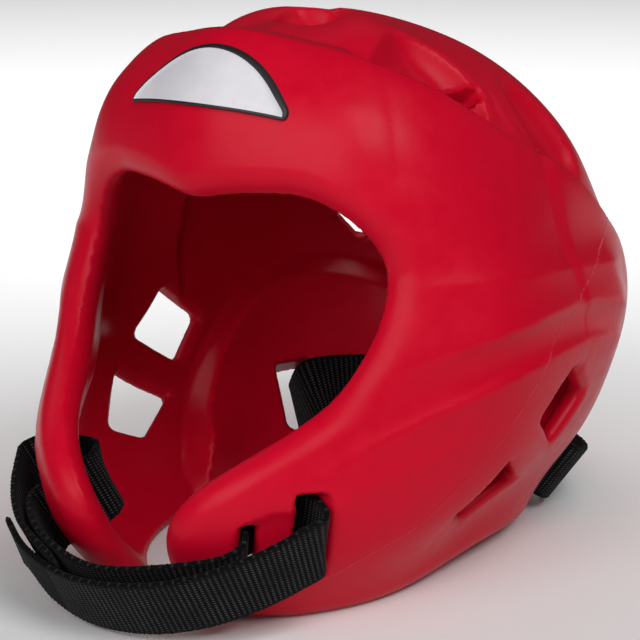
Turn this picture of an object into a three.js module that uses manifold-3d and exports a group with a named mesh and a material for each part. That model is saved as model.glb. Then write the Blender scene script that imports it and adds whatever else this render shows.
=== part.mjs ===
// Head guard: one moulded foam shell with a bare brow badge, a chin strap and a nape strap.
// Millimetres, +Z up, the face looks along -Y, the guard stands on the floor at Z = 0.
import * as THREE from "three";
import Module from "manifold-3d";

const wasm = await Module();
wasm.setup();

// Form of the head: distances from the head centre to the outer face.
// A row is a height angle above the horizon, a column is a turn away from the front.
const HEAD_CENTRE = [0, 13.9, 90];
const LOWEST_ANGLE = -60;
const ANGLE_STEP = 15;
const COLUMN_SPREAD = 1.0;
const FORM = [
  { front: 168, cheek: 159, front_side: 143, temple: 127, ear: 120, back: 126.5 },
  { front: 148, cheek: 138, front_side: 121, temple: 102.5, ear: 103, back: 113.5 },
  { front: 147.5, cheek: 136.5, front_side: 118.5, temple: 103.5, ear: 100.5, back: 115.5 },
  { front: 143, cheek: 131, front_side: 111, temple: 102, ear: 99.5, back: 118.5 },
  { front: 122.5, cheek: 115.5, front_side: 106, temple: 100, ear: 99.5, back: 119.5 },
  { front: 110, cheek: 107, front_side: 103, temple: 99.5, ear: 96, back: 112.5 },
  { front: 109, cheek: 108.5, front_side: 108.5, temple: 101, ear: 98, back: 108 },
  { front: 116.5, cheek: 115, front_side: 114.5, temple: 104, ear: 98.5, back: 105.5 },
  { front: 119, cheek: 115, front_side: 112.5, temple: 106, ear: 101, back: 103 },
  { front: 110.5, cheek: 110, front_side: 111, temple: 108, ear: 103, back: 102.5 },
  { front: 105, cheek: 105, front_side: 105, temple: 105, ear: 105, back: 105 },
];
const WALL = 17;
const DEEPEST = 40;
const RIM_ROUND = 7.8;

// Face opening: half its width at even steps of height, and the brow above it.
const OPENING_LOWEST = -15;
const OPENING_STEP = 15;
const OPENING_HALF_WIDTHS = [14, 14, 14, 16, 23, 38.5, 55.5, 63, 65.5, 64.5, 62, 60];
const BROW_HEIGHT = 141;
const BROW_ARCH = 3;
const BROW_PEAK_WIDTH = 14;
const BROW_CORNER = 28;
const OPENING_BACK = -12;

// Bottom rim: it touches the floor at the cheeks and the nape and arches between them.
const RIM_DEPTH = -2.5;
const RIM_ARCH = 6;
const RIM_ARCH_MIDDLE = 0;
const RIM_ARCH_LENGTH = 42;

// Bevelled band round the face opening.
const BAND_WIDTH = 25;
const BAND_DROP = 3;

// Upper lip of the panel: its height angle at even turns from the front.
const LIP_STEP = 20;
const LIP_ANGLES = [59, 59.2, 56.6, 51.8, 44.4, 35, 20, 5, -4, -8];
const LIP_PROUD = 2.2;
const LIP_PROUD_WIDTH = 15;
const LEDGE_FRONT = 9;
const LEDGE_SIDE = 5;
const LEDGE_TURNS = [38, 56];
const CAP_DROP = 5.6;
const CAP_FADE = 45;
const LIP_FADE_START = 112;
const LIP_FADE_END = 150;

// Scooped vents in the crown: the middle of each, its half lengths before, behind, below and above that,
// and its depth. The strap recess is a shallow scoop of the same kind between the strap slots.
const SCOOP_WALL = 5;
const SCOOPS = [
  { turn: 0, angle: 84.5, before: 14, behind: 14, below: 7, above: 20, depth: 7.5 },
  { turn: 82, angle: 53, before: 36, behind: 15, below: 16, above: 34, depth: 9.5 },
  { turn: 118, angle: 34, before: 14, behind: 16, below: 14, above: 34, depth: 7 },
];
const STRAP_RECESS = { turn: 26.5, angle: -26, before: 17, behind: 15, below: 18, above: 14, depth: 2.2 };
const DEEPEST_RELIEF = 12;

// Side folds: each row gives a fold's start and end turn, its height angle at four even turns,
// its height, and how far it fades above and below its line.
const FOLDS = [
  { start: 40, end: 128, a: 14.5, b: 14, c: 12, d: 6, height: 0.9, above: 6, below: 6 },
  { start: 40, end: 128, a: -1.5, b: 4, c: 4.5, d: -4, height: 2.4, above: 15, below: 3.5 },
  { start: 24, end: 126, a: -19, b: -8, c: -3.5, d: -9, height: 2, above: 3.5, below: 20 },
];
const FOLD_GROWTH = 42;
const FOLD_ENDS = 14;

// Pocket inside, over the ears and round the thick nape pad: the pad's upper edge at even turns.
const POCKET_DEPTH = 6;
const POCKET_FROM_OPENING = [12, 30];
const POCKET_FROM_FLOOR = [0, 18];
const POCKET_TOP = 18;
const POCKET_TOP_FADE = 22;
const POCKET_EDGE = 11;
const PAD_FIRST_TURN = 60;
const PAD_STEP = 20;
const PAD_ANGLES = [-64, -49, -34, -17, -10.5, -14, -16];

// Holes through the wall: corner columns are along the wall and up it, in mm from the hole's middle.
// The lean is how far a hole moves along the wall for each mm out of it.
const HOLES = [
  { name: "upper ear hole", turn: 93.5, angle: -17.5, lean: 0,
    corners: [[0, 16], [18, 0], [1.5, -15], [-18.5, 0]] },
  { name: "lower ear hole", turn: 71, angle: -32.3, lean: 0,
    corners: [[2, 15.5], [22, -1], [-1, -13.5], [-15, -5]] },
  { name: "back hole", turn: 151, angle: 4, lean: 0,
    corners: [[0, 10], [12, 0], [-4, -12], [-14, 0]] },
  { name: "front strap slot", turn: 21, angle: -27, lean: 0,
    corners: [[-2.4, 12.8], [5.2, 12.8], [5.2, -15.5], [-3, -15.5]] },
  { name: "rear strap slot", turn: 31.5, angle: -25, lean: 0.35,
    corners: [[-5, 14.5], [5.5, 14.5], [6, -17], [-5, -17]] },
  { name: "nape strap hole", turn: 129, angle: -42, lean: 0,
    corners: [[-7, 17], [9.5, 18], [7, -15], [-9, -10]] },
  { name: "front vent", turn: 0, angle: 84.5, lean: 0,
    corners: [[-7, 3], [7, 3], [7, -3], [-7, -3]] },
  { name: "side vent", turn: 89, angle: 57, lean: 0,
    corners: [[-6.4, 8.4], [9.6, -4.6], [6.4, -8.4], [-9.6, 4.6]] },
  { name: "rear vent", turn: 116, angle: 35, lean: 0,
    corners: [[-8, 5], [6, 3], [6, -3], [-8, -1]] },
];
const HOLE_REACH = 34;

// Fineness of the shell's facets.
const CELL = 9;
const SHORTEST_EDGE = 0.25;
const EVENING_PASSES = 5;

// Badge: a thin bare patch on the brow, the arc of a lens cut off by a shallow lower edge.
const BADGE_HALF_WIDTH = 32.8;
const BADGE_RISE = 19;
const BADGE_SAG = 3;
const BADGE_BOTTOM = 168;
const BADGE_THICK = 1.4;
const BADGE_GAP = 0.5;
const BADGE_END = 3;
const BADGE_COLUMNS = 14;
const BADGE_ROWS = 4;

// Straps: flat woven bands, led over and through the wall.
// A row gives the turn from the front, the height angle, and the height over the plain outer face.
const STRAP_WIDTH = 25;
const STRAP_THICK = 2;
const STRAP_STEPS = 4;
const CHIN_STRAP = [
  { turn: -16.8, angle: -26.3, off: 13.2 },
  { turn: -10, angle: -28, off: 13 },
  { turn: -2, angle: -28.8, off: 12.6 },
  { turn: 7, angle: -28.6, off: 12 },
  { turn: 14.5, angle: -28, off: 11 },
  { turn: 22, angle: -27.1, off: 8.6 },
  { turn: 28, angle: -26.4, off: 5.4 },
  { turn: 32.4, angle: -25.8, off: 1.8 },
  { turn: 32.4, angle: -25.5, off: -5 },
  { turn: 29, angle: -25.2, off: -18.6 },
  { turn: 26.6, angle: -27.2, off: -22.8 },
  { turn: 23.4, angle: -29.4, off: -22.6 },
  { turn: 21.4, angle: -28.3, off: -18.8 },
  { turn: 20.9, angle: -28.1, off: -9 },
  { turn: 20.4, angle: -28.1, off: -1.5 },
  { turn: 18.2, angle: -28.1, off: 2.8 },
  { turn: 13, angle: -28, off: 5 },
  { turn: 0, angle: -28.6, off: 6.4 },
  { turn: -13, angle: -28, off: 5 },
  { turn: -20.4, angle: -28, off: 0.6 },
  { turn: -21.2, angle: -27.9, off: -8 },
  { turn: -22, angle: -27.8, off: -18.8 },
  { turn: -24.4, angle: -27.8, off: -22.8 },
  { turn: -27, angle: -27.2, off: -22.8 },
  { turn: -29, angle: -26.4, off: -18.6 },
  { turn: -32.4, angle: -25.5, off: -5 },
  { turn: -32.4, angle: -25.8, off: 1.8 },
  { turn: -26, angle: -26.6, off: 5.6 },
  { turn: -16, angle: -27.6, off: 8.6 },
  { turn: -6, angle: -28.4, off: 9.4 },
];
const NAPE_STRAP = [
  { turn: -160, angle: -38.4, off: 14 },
  { turn: 180, angle: -37.8, off: 14 },
  { turn: 158, angle: -38.8, off: 13.2 },
  { turn: 143, angle: -40, off: 11.4 },
  { turn: 135, angle: -41, off: 8 },
  { turn: 130.6, angle: -41.2, off: 3 },
  { turn: 130.4, angle: -41.4, off: -8 },
  { turn: 133, angle: -40, off: -18.4 },
  { turn: 141, angle: -39.4, off: -20.8 },
  { turn: 160, angle: -39, off: -21.4 },
  { turn: 180, angle: -39, off: -21.4 },
  { turn: -160, angle: -39, off: -21.4 },
  { turn: -141, angle: -39.4, off: -20.8 },
  { turn: -133, angle: -40, off: -18.4 },
  { turn: -131.6, angle: -41.4, off: -8 },
  { turn: -133, angle: -41.9, off: 1.4 },
  { turn: -136.6, angle: -41.6, off: 5.4 },
  { turn: -144, angle: -40.6, off: 8 },
  { turn: -158, angle: -39.4, off: 9.8 },
  { turn: 180, angle: -38.6, off: 10.6 },
  { turn: 168, angle: -39, off: 10.4 },
];

const COLUMNS = Object.keys(FORM[0]);
const MIRRORED = true;
const STRAIGHT = false;

// Evenly spaced smooth curve through given values
function withEnds(values, mirrored) {
  const last = values.length - 1;
  const before = mirrored ? values[1] : 2 * values[0] - values[1];
  const after = mirrored ? values[last - 1] : 2 * values[last] - values[last - 1];
  return [before, ...values, after];
}

function curveControls(values, mirrored) {
  let controls = [...values];
  for (let pass = 0; pass < 24; pass += 1) {
    const wide = withEnds(controls, mirrored);
    controls = controls.map((c, i) => c + values[i] - (wide[i] + 4 * wide[i + 1] + wide[i + 2]) / 6);
  }
  return withEnds(controls, mirrored);
}

function curveWeights(place, count) {
  const held = Math.min(Math.max(place, 0), count - 1 - 1e-9);
  const start = Math.min(Math.floor(held), count - 2);
  const f = held - start;
  const weights = [
    (1 - f) ** 3 / 6,
    (3 * f ** 3 - 6 * f ** 2 + 4) / 6,
    (-3 * f ** 3 + 3 * f ** 2 + 3 * f + 1) / 6,
    f ** 3 / 6,
  ];
  return { start, weights };
}

function curveAt(controls, place) {
  const { start, weights } = curveWeights(place, controls.length - 2);
  return weights.reduce((sum, w, k) => sum + w * controls[start + k], 0);
}

// Radius of the outer face in any direction
function formControls() {
  const upright = COLUMNS.map((name) => curveControls(FORM.map((row) => row[name]), STRAIGHT));
  return upright[0].map((_, i) => curveControls(upright.map((column) => column[i]), MIRRORED));
}

const FORM_CONTROLS = formControls();
const OPENING_CONTROLS = curveControls(OPENING_HALF_WIDTHS, STRAIGHT);
const LIP_CONTROLS = curveControls(LIP_ANGLES, MIRRORED);
const FOLD_CONTROLS = FOLDS.map((fold) => curveControls([fold.a, fold.b, fold.c, fold.d], STRAIGHT));
const PAD_CONTROLS = curveControls(PAD_ANGLES, STRAIGHT);
const DEGREES = 180 / Math.PI;

function direction(point) {
  const x = Math.abs(point[0] - HEAD_CENTRE[0]);
  const y = point[1] - HEAD_CENTRE[1];
  const z = point[2] - HEAD_CENTRE[2];
  const reach = Math.hypot(x, y, z) + 1e-9;
  return { reach, turn: Math.atan2(x, -y), angle: Math.asin(z / reach) * DEGREES };
}

function outerRadius(turn, angle) {
  const across = COLUMNS.length - 1;
  const rowPlace = (angle - LOWEST_ANGLE) / ANGLE_STEP;
  const columnPlace = (across * turn) / Math.PI + COLUMN_SPREAD * Math.sin(turn);
  const row = curveWeights(rowPlace, FORM.length);
  return row.weights.reduce(
    (sum, w, k) => sum + w * curveAt(FORM_CONTROLS[row.start + k], columnPlace), 0);
}

function roughDepth(point) {
  const d = direction(point);
  return d.reach - outerRadius(d.turn, d.angle);
}

// Signed distance to the plain outer face and the way out of it
function outerFace(point) {
  const h = 0.5;
  const slope = [0, 1, 2].map((axis) => {
    const ahead = [...point];
    const behind = [...point];
    ahead[axis] += h;
    behind[axis] -= h;
    return (roughDepth(ahead) - roughDepth(behind)) / (2 * h);
  });
  const steepness = Math.hypot(...slope);
  const rough = roughDepth(point);
  return { depth: rough / steepness, rough, out: slope.map((s) => s / steepness) };
}

function roundedMax(a, b, radius) {
  const u = Math.max(a + radius, 0);
  const v = Math.max(b + radius, 0);
  return Math.min(Math.max(a, b), -radius) + Math.hypot(u, v);
}

function smoothStep(from, to, value) {
  const t = Math.min(Math.max((value - from) / (to - from), 0), 1);
  return t * t * (3 - 2 * t);
}

// Face opening seen from the front: negative inside it
function faceOpening(point) {
  const x = Math.abs(point[0]);
  const z = point[2];
  const place = (z - OPENING_LOWEST) / OPENING_STEP;
  const half = curveAt(OPENING_CONTROLS, place);
  const lean = curveAt(OPENING_CONTROLS, place + 0.05) - curveAt(OPENING_CONTROLS, place - 0.05);
  const side = (x - half) / Math.hypot(1, lean / (0.1 * OPENING_STEP));
  const brow = BROW_HEIGHT + BROW_ARCH * (1 - Math.exp(-((x / BROW_PEAK_WIDTH) ** 2)));
  return Math.max(roundedMax(side, z - brow, BROW_CORNER), point[1] - HEAD_CENTRE[1] - OPENING_BACK);
}

// Height of the outer face's own relief above the plain form
function lipRelief(turn, angle, reach) {
  const above = (angle - curveAt(LIP_CONTROLS, turn / LIP_STEP)) * reach;
  const strength = 1 - smoothStep(LIP_FADE_START, LIP_FADE_END, turn);
  const ledge = LEDGE_FRONT + (LEDGE_SIDE - LEDGE_FRONT) * smoothStep(...LEDGE_TURNS, turn);
  const edge = Math.min(Math.max(above, 0) / ledge, 1);
  const proud = LIP_PROUD * Math.exp(-((Math.min(above, 0) / LIP_PROUD_WIDTH) ** 2)) * (1 - edge);
  const cap = -CAP_DROP * edge * Math.exp(-Math.max(above - ledge, 0) / CAP_FADE);
  return strength * (proud + cap);
}

const SCOOP_PLACES = SCOOPS.map((scoop) => facePlace(scoop.turn, scoop.angle, 1));
const RECESS_PLACE = facePlace(STRAP_RECESS.turn, STRAP_RECESS.angle, 1);

// Depth of a scoop with a round rim at a point on either side
function scoopDepth(point, scoop, place) {
  const from = new THREE.Vector3(Math.abs(point[0]), point[1], point[2]).sub(place.point);
  const along = from.dot(place.along);
  const up = from.dot(place.up);
  const across = along / (along > 0 ? scoop.behind : scoop.before);
  const rise = up / (up > 0 ? scoop.above : scoop.below);
  const bowl = Math.max(1 - across ** 2 - rise ** 2, 0);
  return from.dot(place.out) > -DEEPEST ? scoop.depth * bowl * (2 - bowl) : 0;
}

function scoopRelief(point, turn, angle, reach) {
  const above = (angle - curveAt(LIP_CONTROLS, turn / LIP_STEP)) * reach;
  const ledge = LEDGE_FRONT + (LEDGE_SIDE - LEDGE_FRONT) * smoothStep(...LEDGE_TURNS, turn);
  const behind = smoothStep(ledge - 1, ledge + SCOOP_WALL, above);
  const scooped = SCOOPS.reduce((sum, scoop, i) => sum + scoopDepth(point, scoop, SCOOP_PLACES[i]), 0);
  return -behind * scooped - scoopDepth(point, STRAP_RECESS, RECESS_PLACE);
}

function foldRelief(turn, angle, reach) {
  let height = 0;
  FOLDS.forEach((fold, i) => {
    const along = (turn - fold.start) / (fold.end - fold.start);
    const above = (angle - curveAt(FOLD_CONTROLS[i], 3 * along)) * reach;
    const ends = smoothStep(fold.start, fold.start + FOLD_GROWTH, turn)
      * (1 - smoothStep(fold.end - FOLD_ENDS, fold.end, turn));
    const fade = above > 0 ? fold.above : fold.below;
    height += fold.height * ends * Math.exp(-Math.abs(above) / fade);
  });
  return height;
}

// How much thinner the wall is from inside
function pocketRelief(turn, angle, reach, fromOpening, fromFloor) {
  const above = (angle - curveAt(PAD_CONTROLS, (turn - PAD_FIRST_TURN) / PAD_STEP)) * reach;
  const overPad = smoothStep(0, POCKET_EDGE, above);
  const behindRim = smoothStep(...POCKET_FROM_OPENING, fromOpening) * smoothStep(...POCKET_FROM_FLOOR, fromFloor);
  const underTop = 1 - smoothStep(POCKET_TOP, POCKET_TOP + POCKET_TOP_FADE, angle);
  return POCKET_DEPTH * overPad * behindRim * underTop;
}

function bandRelief(fromOpening) {
  const across = Math.min(Math.max(fromOpening / BAND_WIDTH, 0), 1);
  return -BAND_DROP * (1 - across);
}

// Signed distance to the shell, before its small holes
function shellDepth(point) {
  const face = outerFace(point);
  if (face.rough < -DEEPEST) {
    return DEEPEST;
  }
  const toMiddle = face.depth + WALL / 2;
  const middle = point.map((c, axis) => c - face.out[axis] * toMiddle);
  const fromOpening = faceOpening(middle);
  const d = direction(point);
  const turn = d.turn * DEGREES;
  const reach = (d.reach - face.rough) / DEGREES;
  const relief = lipRelief(turn, d.angle, reach) + foldRelief(turn, d.angle, reach)
    + bandRelief(fromOpening) + scoopRelief(point, turn, d.angle, reach);
  const outside = face.depth - Math.max(relief, -DEEPEST_RELIEF);
  const inside = -face.depth - WALL + pocketRelief(turn, d.angle, reach, fromOpening, point[2]);
  const fromArch = (point[1] - HEAD_CENTRE[1] - RIM_ARCH_MIDDLE) / RIM_ARCH_LENGTH;
  const rim = RIM_DEPTH + RIM_ARCH * Math.exp(-(fromArch ** 2));
  const wall = roundedMax(Math.max(outside, inside), -fromOpening, RIM_ROUND);
  return roundedMax(wall, rim - point[2], RIM_ROUND);
}

// Groups of a cell's empty corners that touch along its edges; solid corners have -1
function emptyGroups(own, edges) {
  const groupOf = own.map((value, n) => (value < 0 ? -1 : n));
  for (let pass = 0; pass < 4; pass += 1) {
    for (const [a, b] of edges) {
      if (groupOf[a] >= 0 && groupOf[b] >= 0) {
        const joined = Math.max(groupOf[a], groupOf[b]);
        groupOf[a] = joined;
        groupOf[b] = joined;
      }
    }
  }
  return groupOf;
}

// Closed mesh of the zero surface of a field: a vertex for each empty group of a crossed cell,
// and a quad for each crossed edge
function fieldMesh(field, low, high, cell) {
  const counts = [0, 1, 2].map((axis) => Math.ceil((high[axis] - low[axis]) / cell) + 1);
  const at = (i, j, k) => (i * counts[1] + j) * counts[2] + k;
  const place = (i, j, k) => [low[0] + cell * i, low[1] + cell * j, low[2] + cell * k];
  const values = new Float64Array(counts[0] * counts[1] * counts[2]);
  const eachCorner = (visit, less) => {
    for (let i = 0; i < counts[0] - less; i += 1) {
      for (let j = 0; j < counts[1] - less; j += 1) {
        for (let k = 0; k < counts[2] - less; k += 1) {
          visit(i, j, k);
        }
      }
    }
  };
  eachCorner((i, j, k) => {
    values[at(i, j, k)] = field(place(i, j, k));
  }, 0);
  const corners = [0, 1, 2, 3, 4, 5, 6, 7].map((n) => [n & 1, (n >> 1) & 1, (n >> 2) & 1]);
  const edges = [];
  for (let a = 0; a < 8; a += 1) {
    for (let axis = 0; axis < 3; axis += 1) {
      if (corners[a][axis] === 0) {
        edges.push([a, a | (1 << axis)]);
      }
    }
  }
  const vertexOf = new Map();
  const vertices = [];
  eachCorner((i, j, k) => {
    const own = corners.map(([a, b, c]) => values[at(i + a, j + b, k + c)]);
    const groupOf = emptyGroups(own, edges);
    for (const group of new Set(groupOf.filter((g) => g >= 0))) {
      const sum = [0, 0, 0];
      let crossed = 0;
      for (const [a, b] of edges) {
        if ((own[a] < 0) !== (own[b] < 0) && Math.max(groupOf[a], groupOf[b]) === group) {
          const t = own[a] / (own[a] - own[b]);
          for (let axis = 0; axis < 3; axis += 1) {
            sum[axis] += corners[a][axis] + t * (corners[b][axis] - corners[a][axis]);
          }
          crossed += 1;
        }
      }
      if (crossed > 0) {
        corners.forEach((_, n) => {
          if (groupOf[n] === group) {
            vertexOf.set(8 * at(i, j, k) + n, vertices.length);
          }
        });
        vertices.push(place(i, j, k).map((c, axis) => c + (cell * sum[axis]) / crossed));
      }
    }
  }, 1);
  const quads = [];
  eachCorner((i, j, k) => {
    const here = [i, j, k];
    for (let axis = 0; axis < 3; axis += 1) {
      const next = [...here];
      next[axis] += 1;
      if (next[axis] >= counts[axis]) {
        continue;
      }
      const solidHere = values[at(...here)] < 0;
      const solidNext = values[at(...next)] < 0;
      if (solidHere === solidNext) {
        continue;
      }
      const empty = solidHere ? next : here;
      const second = (axis + 1) % 3;
      const third = (axis + 2) % 3;
      const ring = [[1, 1], [0, 1], [0, 0], [1, 0]].map(([back, down]) => {
        const own = [...here];
        own[second] -= back;
        own[third] -= down;
        const corner = (empty[0] - own[0]) + 2 * (empty[1] - own[1]) + 4 * (empty[2] - own[2]);
        return vertexOf.get(8 * at(...own) + corner);
      });
      const quad = solidHere ? ring : ring.reverse();
      quads.push(quad);
    }
  }, 0);
  const even = evened(field, vertices, quads, cell);
  return { vertices: even, triangles: quads.flatMap((quad) => splitQuad(field, even, quad)) };
}

// Two triangles of a quad, split along the diagonal that lies closer to the zero surface
function splitQuad(field, vertices, [a, b, c, d]) {
  const miss = (p, q) => Math.abs(field(vertices[p].map((v, axis) => (v + vertices[q][axis]) / 2)));
  return miss(a, c) < miss(b, d) ? [[a, b, c], [a, c, d]] : [[b, c, d], [b, d, a]];
}

// Vertices spread evenly over the zero surface
function evened(field, rough, quads, cell) {
  const neighbours = rough.map(() => new Set());
  for (const quad of quads) {
    quad.forEach((v, k) => {
      neighbours[v].add(quad[(k + 1) % 4]).add(quad[(k + 3) % 4]);
    });
  }
  let vertices = rough.map((v) => settled(field, v, cell));
  for (let pass = 0; pass < EVENING_PASSES; pass += 1) {
    vertices = vertices.map((v, i) => {
      const mean = [0, 0, 0];
      for (const n of neighbours[i]) {
        mean.forEach((_, axis) => {
          mean[axis] += vertices[n][axis] / neighbours[i].size;
        });
      }
      return v.map((c, axis) => (c + mean[axis]) / 2);
    }).map((v) => settled(field, v, cell));
  }
  return vertices;
}

// A vertex moved straight onto the zero surface
function settled(field, vertex, cell) {
  const h = 0.4;
  let point = vertex;
  for (let pass = 0; pass < 2; pass += 1) {
    const value = field(point);
    const slope = [0, 1, 2].map((axis) => {
      const ahead = [...point];
      ahead[axis] += h;
      return (field(ahead) - value) / h;
    });
    const steep = Math.max(slope[0] ** 2 + slope[1] ** 2 + slope[2] ** 2, 0.1);
    const wanted = slope.map((s) => (-value * s) / steep);
    const length = Math.hypot(...wanted);
    const share = Math.min(1, (0.4 * cell) / Math.max(length, 1e-9));
    point = point.map((c, axis) => c + share * wanted[axis]);
  }
  return point;
}

function solidOf(mesh) {
  return new wasm.Manifold(new wasm.Mesh({
    numProp: 3,
    vertProperties: new Float32Array(mesh.vertices.flat()),
    triVerts: new Uint32Array(mesh.triangles.flat()),
  }));
}

function geometryOf(mesh) {
  const geometry = new THREE.BufferGeometry();
  geometry.setAttribute("position", new THREE.Float32BufferAttribute(mesh.vertices.flat(), 3));
  geometry.setIndex(mesh.triangles.flat());
  geometry.computeVertexNormals();
  return geometry;
}

function meshOfSolid(solid) {
  const made = solid.getMesh();
  const vertices = [];
  for (let i = 0; i < made.vertProperties.length; i += made.numProp) {
    vertices.push([...made.vertProperties.slice(i, i + 3)]);
  }
  const triangles = [];
  for (let i = 0; i < made.triVerts.length; i += 3) {
    triangles.push([...made.triVerts.slice(i, i + 3)]);
  }
  return { vertices, triangles };
}

// Mesh whose edges shorter than a given length are drawn together to a point
function joinShortEdges(mesh, shortest) {
  const stand = mesh.vertices.map((_, i) => i);
  const root = (i) => (stand[i] === i ? i : root(stand[i]));
  for (const triangle of mesh.triangles) {
    for (let k = 0; k < 3; k += 1) {
      const a = root(triangle[k]);
      const b = root(triangle[(k + 1) % 3]);
      const apart = Math.hypot(...mesh.vertices[a].map((c, axis) => c - mesh.vertices[b][axis]));
      if (a !== b && apart < shortest) {
        stand[b] = a;
      }
    }
  }
  const moved = mesh.triangles.map((triangle) => triangle.map(root));
  const kept = moved.filter(([a, b, c]) => a !== b && b !== c && c !== a);
  return { vertices: mesh.vertices, triangles: kept };
}

// Point of the plain outer face in a direction, with the directions along, up and out of the wall
function facePlace(turnDegrees, angleDegrees, side) {
  const turn = turnDegrees / DEGREES;
  const angle = angleDegrees / DEGREES;
  const reach = outerRadius(turn, angleDegrees);
  const point = [
    HEAD_CENTRE[0] + side * reach * Math.cos(angle) * Math.sin(turn),
    HEAD_CENTRE[1] - reach * Math.cos(angle) * Math.cos(turn),
    HEAD_CENTRE[2] + reach * Math.sin(angle),
  ];
  const out = new THREE.Vector3(...outerFace(point).out);
  const along = new THREE.Vector3(-out.y, out.x, 0).multiplyScalar(side).normalize();
  const up = new THREE.Vector3().crossVectors(out, along).multiplyScalar(side);
  return { point: new THREE.Vector3(...point), along, up, out };
}

// Straight cutter through the wall for one hole
function holeCutter(hole, side) {
  const place = facePlace(hole.turn, hole.angle, side);
  const turned = side > 0 ? hole.corners : [...hole.corners].reverse();
  const vertices = [];
  for (const reach of [-HOLE_REACH, HOLE_REACH / 2]) {
    for (const [along, up] of turned) {
      const corner = place.point.clone();
      corner.addScaledVector(place.along, along + hole.lean * reach);
      corner.addScaledVector(place.up, up);
      corner.addScaledVector(place.out, reach);
      vertices.push(corner.toArray());
    }
  }
  const triangles = [[0, 1, 2], [0, 2, 3], [4, 6, 5], [4, 7, 6]];
  for (let i = 0; i < 4; i += 1) {
    const j = (i + 1) % 4;
    triangles.push([i, i + 4, j], [j, i + 4, j + 4]);
  }
  const solid = solidOf({ vertices, triangles });
  return solid.volume() > 0 ? solid : solidOf({ vertices, triangles: triangles.map((t) => t.reverse()) });
}

function boxSolid(width, depth, height, centre) {
  const box = new THREE.BoxGeometry(width, depth, height);
  box.translate(...centre);
  const places = box.getAttribute("position");
  const vertices = [];
  const known = new Map();
  const index = [];
  for (let i = 0; i < places.count; i += 1) {
    const corner = [places.getX(i), places.getY(i), places.getZ(i)];
    const key = corner.join(" ");
    if (!known.has(key)) {
      known.set(key, vertices.length);
      vertices.push(corner);
    }
    index.push(known.get(key));
  }
  const faces = box.getIndex().array;
  const triangles = [];
  for (let i = 0; i < faces.length; i += 3) {
    triangles.push([index[faces[i]], index[faces[i + 1]], index[faces[i + 2]]]);
  }
  return solidOf({ vertices, triangles });
}

function shellMesh() {
  const low = [-13 * CELL, -140, -14];
  const high = [13 * CELL, 146, 216];
  let solid = solidOf(fieldMesh(shellDepth, low, high, CELL));
  solid = solid.subtract(boxSolid(400, 400, 60, [0, 0, -30]));
  for (const hole of HOLES) {
    for (const side of [1, -1]) {
      solid = solid.subtract(holeCutter(hole, side));
    }
  }
  return joinShortEdges(meshOfSolid(solid), SHORTEST_EDGE);
}

// Band with a flat section along a row table
function strapMesh(rows) {
  const places = rows.map((row) => {
    const place = facePlace(Math.abs(row.turn), row.angle, Math.sign(row.turn) || 1);
    place.point.addScaledVector(place.out, row.off);
    return place;
  });
  const middleLine = new THREE.CatmullRomCurve3(places.map((place) => place.point));
  const upLine = new THREE.CatmullRomCurve3(places.map((place) => place.up));
  const count = (rows.length - 1) * STRAP_STEPS;
  const vertices = [];
  for (let i = 0; i <= count; i += 1) {
    const t = i / count;
    const middle = middleLine.getPoint(t);
    const ahead = middleLine.getTangent(t);
    const up = upLine.getPoint(t);
    up.addScaledVector(ahead, -up.dot(ahead)).normalize();
    const out = new THREE.Vector3().crossVectors(ahead, up);
    for (const [across, over] of [[-1, -1], [1, -1], [1, 1], [-1, 1]]) {
      const corner = middle.clone();
      corner.addScaledVector(up, (across * STRAP_WIDTH) / 2);
      corner.addScaledVector(out, (over * STRAP_THICK) / 2);
      vertices.push(corner.toArray());
    }
  }
  const triangles = [];
  for (let i = 0; i < count; i += 1) {
    for (let k = 0; k < 4; k += 1) {
      const here = 4 * i + k;
      const beside = 4 * i + ((k + 1) % 4);
      triangles.push([here, beside, beside + 4], [here, beside + 4, here + 4]);
    }
  }
  const end = 4 * count;
  triangles.push([0, 3, 2], [0, 2, 1], [end, end + 1, end + 2], [end, end + 2, end + 3]);
  return { vertices, triangles };
}

// Patch on the brow with an arched upper edge
function browPoint(x, z, off) {
  let y = HEAD_CENTRE[1] - FORM[0].front;
  let depth = shellDepth([x, y, z]);
  while (depth - off > 0.02) {
    y += 0.7 * (depth - off);
    depth = shellDepth([x, y, z]);
  }
  return [x, y, z];
}

function badgeMesh() {
  const vertices = [];
  for (const off of [BADGE_GAP, BADGE_GAP + BADGE_THICK]) {
    for (let i = 0; i <= BADGE_COLUMNS; i += 1) {
      const across = (2 * i) / BADGE_COLUMNS - 1;
      const lower = BADGE_BOTTOM + BADGE_SAG * (1 - across ** 2);
      const tall = BADGE_END + (BADGE_RISE - BADGE_END) * (1 - across ** 2);
      for (let j = 0; j <= BADGE_ROWS; j += 1) {
        vertices.push(browPoint(across * BADGE_HALF_WIDTH, lower + (tall * j) / BADGE_ROWS, off));
      }
    }
  }
  const tallCount = BADGE_ROWS + 1;
  const layer = (BADGE_COLUMNS + 1) * tallCount;
  const at = (i, j) => i * tallCount + j;
  const triangles = [];
  const quad = (a, b, c, d) => triangles.push([a, b, c], [a, c, d]);
  for (let i = 0; i < BADGE_COLUMNS; i += 1) {
    for (let j = 0; j < BADGE_ROWS; j += 1) {
      quad(at(i, j), at(i, j + 1), at(i + 1, j + 1), at(i + 1, j));
      quad(layer + at(i, j), layer + at(i + 1, j), layer + at(i + 1, j + 1), layer + at(i, j + 1));
    }
    quad(at(i, 0), at(i + 1, 0), layer + at(i + 1, 0), layer + at(i, 0));
    const top = BADGE_ROWS;
    quad(at(i + 1, top), at(i, top), layer + at(i, top), layer + at(i + 1, top));
  }
  for (let j = 0; j < BADGE_ROWS; j += 1) {
    const right = BADGE_COLUMNS;
    quad(at(0, j + 1), at(0, j), layer + at(0, j), layer + at(0, j + 1));
    quad(at(right, j), at(right, j + 1), layer + at(right, j + 1), layer + at(right, j));
  }
  return { vertices, triangles };
}

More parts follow.
